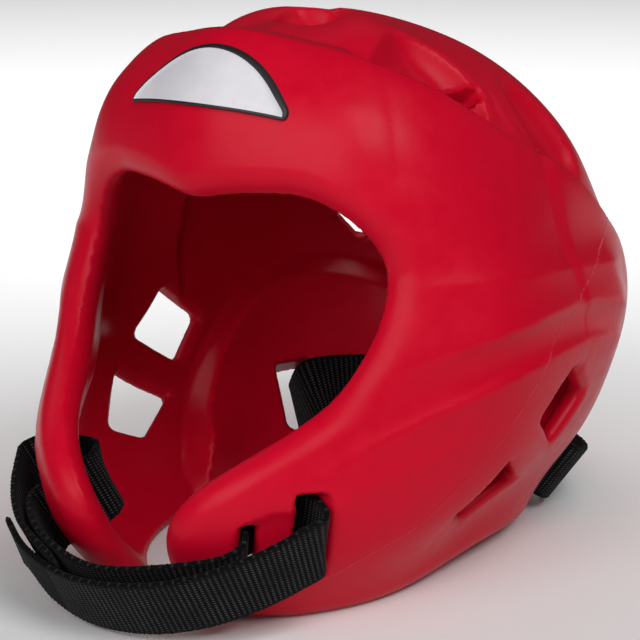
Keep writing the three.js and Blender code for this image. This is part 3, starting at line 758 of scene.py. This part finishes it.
def strap_section():
    """Places round a strap's section: across, over and how far the ribs show."""
    half = STRAP_WIDTH / 2
    thick = STRAP_THICK / 2
    across = np.linspace(-half + SELVEDGE, half - SELVEDGE, STRAP_COLUMNS)
    top = [(a, thick, 1.0) for a in across]
    edge = [
        (half - SELVEDGE_TIP, SELVEDGE_THICK * thick, SELVEDGE_RIB),
        (half, 0.0, 0.0),
        (half - SELVEDGE_TIP, -SELVEDGE_THICK * thick, -SELVEDGE_RIB),
    ]
    bottom = [(a, -thick, -1.0) for a in across[::-1]]
    back = [(-a, over, rib) for a, over, rib in edge[::-1]]
    return np.array(top + edge + bottom + back)


def strap_mesh(name, rows, material):
    """Woven band with raised ribs, frayed selvedges and thinner ends, and its length and width as a map."""
    line, up, run = strap_line(rows)
    ahead = np.gradient(line, axis=0)
    ahead /= np.linalg.norm(ahead, axis=1, keepdims=True)
    up = up - ahead * (up * ahead).sum(1, keepdims=True)
    up /= np.linalg.norm(up, axis=1, keepdims=True)
    out = np.cross(ahead, up)
    section = strap_section()
    rib = RIB_HEIGHT * (np.abs(np.sin(math.pi * run / RIB_PITCH)) - RIB_MIDDLE)
    ends = np.sqrt(np.minimum(np.minimum(run, run[-1] - run) / END_TAPER, 1.0))
    share = END_THICK + (1 - END_THICK) * ends[:, None]
    over = section[:, 1][None] * share + section[:, 2][None] * rib[:, None]
    random = np.random.default_rng(FRAY_SEED)
    selvedge = np.abs(section[:, 0]) > STRAP_WIDTH / 2 - FRAYED
    width = section[:, 0][None] + selvedge * FRAY * random.normal(size=(len(line), len(section)))
    vertices = line[:, None] + up[:, None] * width[..., None] + out[:, None] * over[..., None]
    count = len(section)
    ring = np.arange(count)
    beside = (ring + 1) % count
    starts = np.arange(len(line) - 1)[:, None] * count
    quads = np.stack([starts + ring, starts + beside, starts + count + beside, starts + count + ring], -1)
    last = (len(line) - 1) * count
    faces = quads.reshape(-1, 4).tolist() + [ring[::-1].tolist(), (last + ring).tolist()]
    made = mesh_object(name, vertices.reshape(-1, 3), faces, material)
    uv = np.stack(np.broadcast_arrays(run[:, None], section[None, :, 0]), -1).reshape(-1, 2) * MM
    layer = made.data.uv_layers.new(name="band")
    corner = np.zeros(len(made.data.loops), int)
    made.data.loops.foreach_get("vertex_index", corner)
    layer.data.foreach_set("uv", uv[corner].ravel())
    return made


# Badge
def brow_points(x, z, off):
    """Points in front of the brow at given heights over the shell."""
    y = np.full_like(x, HEAD_CENTRE[1] - FORM[0, 0])
    for _ in range(BROW_PASSES):
        depth = shell_field(np.stack([x, y, z], -1))
        y = y + BROW_PACE * (depth - off)
    return np.stack([x, y, z], -1)


def rounded_outline(points, passes):
    """Closed outline with its corners cut off again and again."""
    for _ in range(passes):
        ahead = np.roll(points, -1, axis=0)
        near = 0.75 * points + 0.25 * ahead
        far = 0.25 * points + 0.75 * ahead
        points = np.stack([near, far], 1).reshape(-1, 2)
    return points


def badge_outline():
    """Even points round the badge, seen from the front."""
    across = np.linspace(-1, 1, BADGE_OUTLINE_STEPS)
    lower = BADGE_BOTTOM + BADGE_SAG * (1 - across**2)
    tall = BADGE_END + (BADGE_RISE - BADGE_END) * (1 - across**2)
    bottom = np.stack([across * BADGE_HALF_WIDTH, lower], -1)
    top = np.stack([across * BADGE_HALF_WIDTH, lower + tall], -1)[::-1]
    points = rounded_outline(np.concatenate([bottom, top]), BADGE_CORNER_PASSES)
    closed = np.concatenate([points, points[:1]])
    run = np.concatenate([[0], np.cumsum(np.linalg.norm(np.diff(closed, axis=0), axis=1))])
    even = np.linspace(0, run[-1], BADGE_POINTS, endpoint=False)
    return np.stack([np.interp(even, run, closed[:, axis]) for axis in range(2)], -1)


def badge_mesh(name, face_material, edge_material):
    """Thin patch made of rings that lie on the brow, with a dark border of its own material."""
    outline = badge_outline()
    middle = outline.mean(0)
    along = np.roll(outline, -1, axis=0) - np.roll(outline, 1, axis=0)
    inward = np.stack([-along[:, 1], along[:, 0]], -1)
    inward /= np.linalg.norm(inward, axis=1, keepdims=True)
    rings = [(outline + inset * inward, off) for inset, off in BADGE_RIM]
    inner = rings[-1][0]
    rings += [(middle + share * (inner - middle), BADGE_FACE_HEIGHT) for share in BADGE_SHARES]
    flat = np.concatenate([ring for ring, _ in rings])
    offs = np.repeat([off for _, off in rings], BADGE_POINTS)
    vertices = brow_points(flat[:, 0], flat[:, 1], offs)
    ring = np.arange(BADGE_POINTS)
    beside = np.roll(ring, -1)
    faces = []
    for k in range(len(rings) - 1):
        low = k * BADGE_POINTS
        high = low + BADGE_POINTS
        faces += np.stack([low + ring, low + beside, high + beside, high + ring], -1).tolist()
    last = (len(rings) - 1) * BADGE_POINTS
    faces.append((last + ring).tolist())
    made = mesh_object(name, vertices, faces, face_material)
    made.data.materials.append(edge_material)
    border = (len(BADGE_RIM) - 2) * BADGE_POINTS
    on_edge = [int(i < border) for i in range(len(made.data.polygons))]
    made.data.polygons.foreach_set("material_index", on_edge)
    return made


# Materials
class Nodes:
    """Short ways to add and join the nodes of one material."""

    def __init__(self, material):
        self.tree = material.node_tree

    def add(self, kind, **settings):
        node = self.tree.nodes.new("ShaderNode" + kind)
        for key, value in settings.items():
            setattr(node, key, value)
        return node

    def put(self, socket, value):
        if hasattr(value, "is_output"):
            self.tree.links.new(value, socket)
        else:
            socket.default_value = value

    def math(self, operation, *values):
        node = self.add("Math", operation=operation)
        for socket, value in zip(node.inputs, values):
            self.put(socket, value)
        return node.outputs[0]

    def noise(self, vector, scale, detail, roughness=0.5):
        node = self.add("TexNoise")
        self.put(node.inputs["Vector"], vector)
        node.inputs["Scale"].default_value = scale
        node.inputs["Detail"].default_value = detail
        node.inputs["Roughness"].default_value = roughness
        return node.outputs["Fac"]

    def ranged(self, value, given, wanted=(0.0, 1.0)):
        """Smooth step from one range of values to another."""
        node = self.add("MapRange", interpolation_type="SMOOTHSTEP")
        self.put(node.inputs["Value"], value)
        node.inputs["From Min"].default_value = given[0]
        node.inputs["From Max"].default_value = given[1]
        node.inputs["To Min"].default_value = wanted[0]
        node.inputs["To Max"].default_value = wanted[1]
        return node.outputs["Result"]

    def blend(self, share, first, second):
        """Mix of two colours, each a socket or a tuple."""
        node = self.add("Mix", data_type="RGBA")
        self.put(node.inputs["Factor"], share)
        colors = [socket for socket in node.inputs if socket.type == "RGBA"]
        self.put(colors[0], first)
        self.put(colors[1], second)
        return next(socket for socket in node.outputs if socket.type == "RGBA")

    def bump(self, height, strength, distance, before=None):
        node = self.add("Bump")
        node.inputs["Strength"].default_value = strength
        node.inputs["Distance"].default_value = distance
        self.put(node.inputs["Height"], height)
        if before is not None:
            self.put(node.inputs["Normal"], before)
        return node.outputs["Normal"]


def new_material(name, color, roughness):
    material = bpy.data.materials.new(name)
    material.use_nodes = True
    shader = material.node_tree.nodes["Principled BSDF"]
    shader.inputs["Base Color"].default_value = color
    shader.inputs["Roughness"].default_value = roughness
    return material, shader


def foam_material():
    """Satin moulded skin: mottled red, fine grain, soft waves, faint scuffs and the raised mould line."""
    material, shader = new_material("red_foam", FOAM_RED, FOAM_ROUGHNESS)
    shader.inputs["Specular IOR Level"].default_value = FOAM_SHINE
    nodes = Nodes(material)
    place = nodes.add("TexCoord").outputs["Object"]
    cloud = nodes.noise(place, scale=16, detail=3)
    mottle = nodes.noise(place, scale=150, detail=4, roughness=0.6)
    grain = nodes.noise(place, scale=2600, detail=2)
    wave = nodes.noise(place, scale=420, detail=1)
    stretched = nodes.add("Mapping")
    stretched.inputs["Scale"].default_value = SCUFF_SCALE
    stretched.inputs["Rotation"].default_value = SCUFF_TURN
    nodes.put(stretched.inputs["Vector"], place)
    streaks = nodes.noise(stretched.outputs["Vector"], scale=1.0, detail=6, roughness=0.7)
    scuff = nodes.ranged(streaks, given=(0.62, 0.8))
    line = nodes.add("Attribute", attribute_name="mould_line").outputs["Fac"]
    ridge = nodes.ranged(line, given=(0.15, 0.75), wanted=(1.0, 0.0))
    mixed = nodes.math("ADD", nodes.math("MULTIPLY", cloud, 0.7), nodes.math("MULTIPLY", mottle, 0.3))
    red = nodes.blend(nodes.ranged(mixed, given=(0.35, 0.65)), FOAM_RED, FOAM_LIGHT_RED)
    worn = nodes.blend(nodes.math("MULTIPLY", scuff, 0.16), red, SCUFF_RED)
    lined = nodes.blend(nodes.math("MULTIPLY", ridge, 0.35), worn, MOULD_LINE_RED)
    nodes.put(shader.inputs["Base Color"], lined)
    satin = nodes.ranged(mottle, given=(0.3, 0.7), wanted=(0.31, 0.39))
    dull = nodes.math("ADD", satin, nodes.math("MULTIPLY", scuff, 0.14))
    nodes.put(shader.inputs["Roughness"], dull)
    normal = nodes.bump(wave, strength=0.10, distance=0.0004)
    normal = nodes.bump(grain, strength=0.10, distance=0.0001, before=normal)
    normal = nodes.bump(ridge, strength=0.6, distance=0.0003, before=normal)
    nodes.put(shader.inputs["Normal"], normal)
    return material


def webbing_weave(nodes, along, across):
    """Rows of slanted stitches, each row half a stitch on from the last, left out on the smooth tab."""
    rows = nodes.math("DIVIDE", along, RIB_PITCH * MM)
    columns = nodes.math("DIVIDE", across, STITCH_PITCH * MM)
    row = nodes.math("FLOOR", rows)
    row_share = nodes.math("FRACT", rows)
    slanted = nodes.math("ADD", columns, nodes.math("MULTIPLY", row_share, STITCH_SLANT))
    shifted = nodes.math("ADD", slanted, nodes.math("MULTIPLY", row, STITCH_SHIFT))
    rib = nodes.math("SINE", nodes.math("MULTIPLY", row_share, math.pi))
    stitch = nodes.math("SINE", nodes.math("MULTIPLY", nodes.math("FRACT", shifted), math.pi))
    past_start = nodes.ranged(along, given=(TAB_START * MM, (TAB_START + 1) * MM))
    before_end = nodes.ranged(along, given=((TAB_END - 1) * MM, TAB_END * MM), wanted=(1.0, 0.0))
    bare = nodes.math("SUBTRACT", 1.0, nodes.math("MULTIPLY", past_start, before_end))
    return nodes.math("MULTIPLY", nodes.math("MULTIPLY", rib, stitch), bare)


def webbing_material():
    """Woven band: pale stitches over dark ground, with smooth selvedges and a little fuzz."""
    material, shader = new_material("black_webbing", WEBBING_BLACK, WEBBING_ROUGHNESS)
    shader.inputs["Specular IOR Level"].default_value = WEBBING_SHINE
    shader.inputs["Sheen Weight"].default_value = 0.03
    shader.inputs["Sheen Roughness"].default_value = 0.5
    nodes = Nodes(material)
    band = nodes.add("SeparateXYZ")
    nodes.put(band.inputs[0], nodes.add("UVMap", uv_map="band").outputs["UV"])
    weave = webbing_weave(nodes, band.outputs["X"], band.outputs["Y"])
    place = nodes.add("TexCoord").outputs["Object"]
    fuzz = nodes.noise(place, scale=5200, detail=3, roughness=0.7)
    cloud = nodes.noise(place, scale=90, detail=2)
    fuzzy = nodes.ranged(fuzz, given=(0.3, 0.7), wanted=(0.35, 1.0))
    lit = nodes.math("MULTIPLY", nodes.ranged(weave, given=(0.6, 0.97)), fuzzy)
    from_middle = nodes.math("ABSOLUTE", band.outputs["Y"])
    edge = nodes.ranged(from_middle, given=[far * MM for far in EDGE_WEAVE], wanted=(1.0, 0.25))
    uneven = nodes.ranged(cloud, given=(0.3, 0.7), wanted=(0.55, 1.0))
    share = nodes.math("MULTIPLY", nodes.math("MULTIPLY", lit, edge), uneven)
    nodes.put(shader.inputs["Base Color"], nodes.blend(share, WEBBING_BLACK, STITCH_GREY))
    nodes.put(shader.inputs["Roughness"], nodes.ranged(fuzz, given=(0.3, 0.7), wanted=(0.62, 0.85)))
    normal = nodes.bump(weave, strength=0.7, distance=0.0004)
    normal = nodes.bump(fuzz, strength=0.25, distance=0.0002, before=normal)
    nodes.put(shader.inputs["Normal"], normal)
    return material


def badge_material(name, dark, light):
    """Coated patch with a faint cross weave."""
    material, shader = new_material(name, light, BADGE_ROUGHNESS)
    nodes = Nodes(material)
    place = nodes.add("TexCoord").outputs["Object"]
    cloud = nodes.noise(place, scale=60, detail=3)
    speck = nodes.noise(place, scale=3000, detail=2)
    split = nodes.add("SeparateXYZ")
    nodes.put(split.inputs[0], place)
    warp = nodes.math("SINE", nodes.math("MULTIPLY", split.outputs["X"], BADGE_WEAVE))
    weft = nodes.math("SINE", nodes.math("MULTIPLY", split.outputs["Z"], BADGE_WEAVE))
    weave = nodes.math("MULTIPLY", warp, weft)
    nodes.put(shader.inputs["Base Color"], nodes.blend(nodes.ranged(cloud, given=(0.3, 0.7)), dark, light))
    rough = (BADGE_ROUGHNESS - 0.06, BADGE_ROUGHNESS + 0.08)
    nodes.put(shader.inputs["Roughness"], nodes.ranged(speck, given=(0.3, 0.7), wanted=rough))
    normal = nodes.bump(weave, strength=0.12, distance=0.0001)
    normal = nodes.bump(speck, strength=0.08, distance=0.0001, before=normal)
    nodes.put(shader.inputs["Normal"], normal)
    return material


# Mould line
def from_mould_line(turn, angle):
    """Rough distance in mm from places on the form to the mould line."""
    line = smooth_line(np.array(MOULD_LINE, float), MOULD_LINE_SPAN)
    nearest = np.full(len(turn), FAR_FROM_LINE)
    for (t, a), (next_t, next_a) in zip(line[:-1], line[1:]):
        level = math.cos(math.radians(a))
        along = np.array([(next_t - t) * level, next_a - a])
        x = (turn - t) * level
        y = angle - a
        share = np.clip((x * along[0] + y * along[1]) / (along @ along), 0, 1)
        apart = np.hypot(x - share * along[0], y - share * along[1]) * MM_PER_DEGREE
        nearest = np.minimum(nearest, apart)
    return nearest


def finish_shell(made, vertices):
    """Normals straight from the field, and the distance to the mould line."""
    slope = np.empty_like(vertices)
    for axis in range(3):
        step = np.zeros(3)
        step[axis] = NORMAL_STEP
        slope[:, axis] = shell_field(vertices + step) - shell_field(vertices - step)
    slope /= np.linalg.norm(slope, axis=1, keepdims=True) + 1e-12
    made.data.normals_split_custom_set_from_vertices(slope.tolist())
    _, turn, angle = direction(vertices)
    apart = from_mould_line(np.degrees(turn), angle)
    apart = np.where(outer_face(vertices)[0] > -LINE_DEPTH, apart, FAR_FROM_LINE)
    layer = made.data.attributes.new("mould_line", "FLOAT", "POINT")
    layer.data.foreach_set("value", apart.astype(np.float32))


# Pieces
foam = foam_material()
webbing = webbing_material()
patch = badge_material("badge_white", BADGE_GREY, BADGE_WHITE)
patch_edge = badge_material("badge_black", BADGE_BLACK, BADGE_DARK_GREY)

shell_vertices, shell_quads = shell_surface()
shell = mesh_object("foam_shell", shell_vertices, shell_quads.tolist(), foam)
finish_shell(shell, shell_vertices)
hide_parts("shell")

badge = badge_mesh("brow_badge", patch, patch_edge)
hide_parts("badge")

chin = strap_mesh("chin_webbing", CHIN_STRAP, webbing)
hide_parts("chin_strap")

nape = strap_mesh("nape_webbing", NAPE_STRAP, webbing)
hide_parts("nape_strap")


# Floor, lights and camera
def way_back(azimuth, elevation):
    """Way from the object to a place at a given side and height."""
    turn = math.radians(azimuth)
    rise = math.radians(elevation)
    return Vector((math.sin(turn) * math.cos(rise), -math.cos(turn) * math.cos(rise), math.sin(rise)))


def soft_light(name, azimuth, elevation, distance, size, power, middle=(0, 0, 0.09)):
    """Softbox that looks at a point from a given side and height."""
    data = bpy.data.lights.new(name, "AREA")
    data.shape = "RECTANGLE"
    data.size = size[0]
    data.size_y = size[1]
    data.energy = power
    back = way_back(azimuth, elevation)
    made = bpy.data.objects.new(name, data)
    made.location = Vector(middle) + back * distance
    made.rotation_euler = back.to_track_quat("Z", "Y").to_euler()
    bpy.context.scene.collection.objects.link(made)


floor_mesh = bpy.data.meshes.new("floor")
floor_corners = [(FLOOR_HALF * x, FLOOR_HALF * y, 0) for x, y in ((-1, -1), (1, -1), (1, 1), (-1, 1))]
floor_mesh.from_pydata(floor_corners, [], [(0, 1, 2, 3)])
floor = bpy.data.objects.new("floor", floor_mesh)
floor_material, _ = new_material("floor", FLOOR_GREY, FLOOR_ROUGHNESS)
floor_mesh.materials.append(floor_material)
bpy.context.scene.collection.objects.link(floor)

soft_light("side", azimuth=68, elevation=46, distance=1.3, size=(0.8, 0.7), power=9)
soft_light("front", azimuth=8, elevation=27, distance=1.4, size=(1.2, 0.9), power=11)
soft_light("floor_light", azimuth=35.5, elevation=40, distance=1.8, size=(3.0, 1.6), power=40,
           middle=(-1.25, 1.75, 0))

world = bpy.data.worlds.new("studio")
world.use_nodes = True
world.node_tree.nodes["Background"].inputs["Color"].default_value = WORLD_WHITE
world.node_tree.nodes["Background"].inputs["Strength"].default_value = WORLD_STRENGTH
bpy.context.scene.world = world
bpy.context.scene.view_settings.view_transform = "Standard"

camera_data = bpy.data.cameras.new("camera")
camera_data.sensor_width = SENSOR_WIDTH
camera_data.lens = SENSOR_WIDTH * FOCAL_PIXELS / PICTURE_PIXELS
camera_data.shift_x = MIDDLE_PIXELS / PICTURE_PIXELS
camera = bpy.data.objects.new("camera", camera_data)
camera_back = way_back(CAMERA_AZIMUTH, CAMERA_ELEVATION)
camera.location = CAMERA_TARGET + camera_back * CAMERA_DISTANCE
camera.rotation_euler = (-camera_back).to_track_quat("-Z", "Y").to_euler()
bpy.context.scene.collection.objects.link(camera)
bpy.context.scene.camera = camera
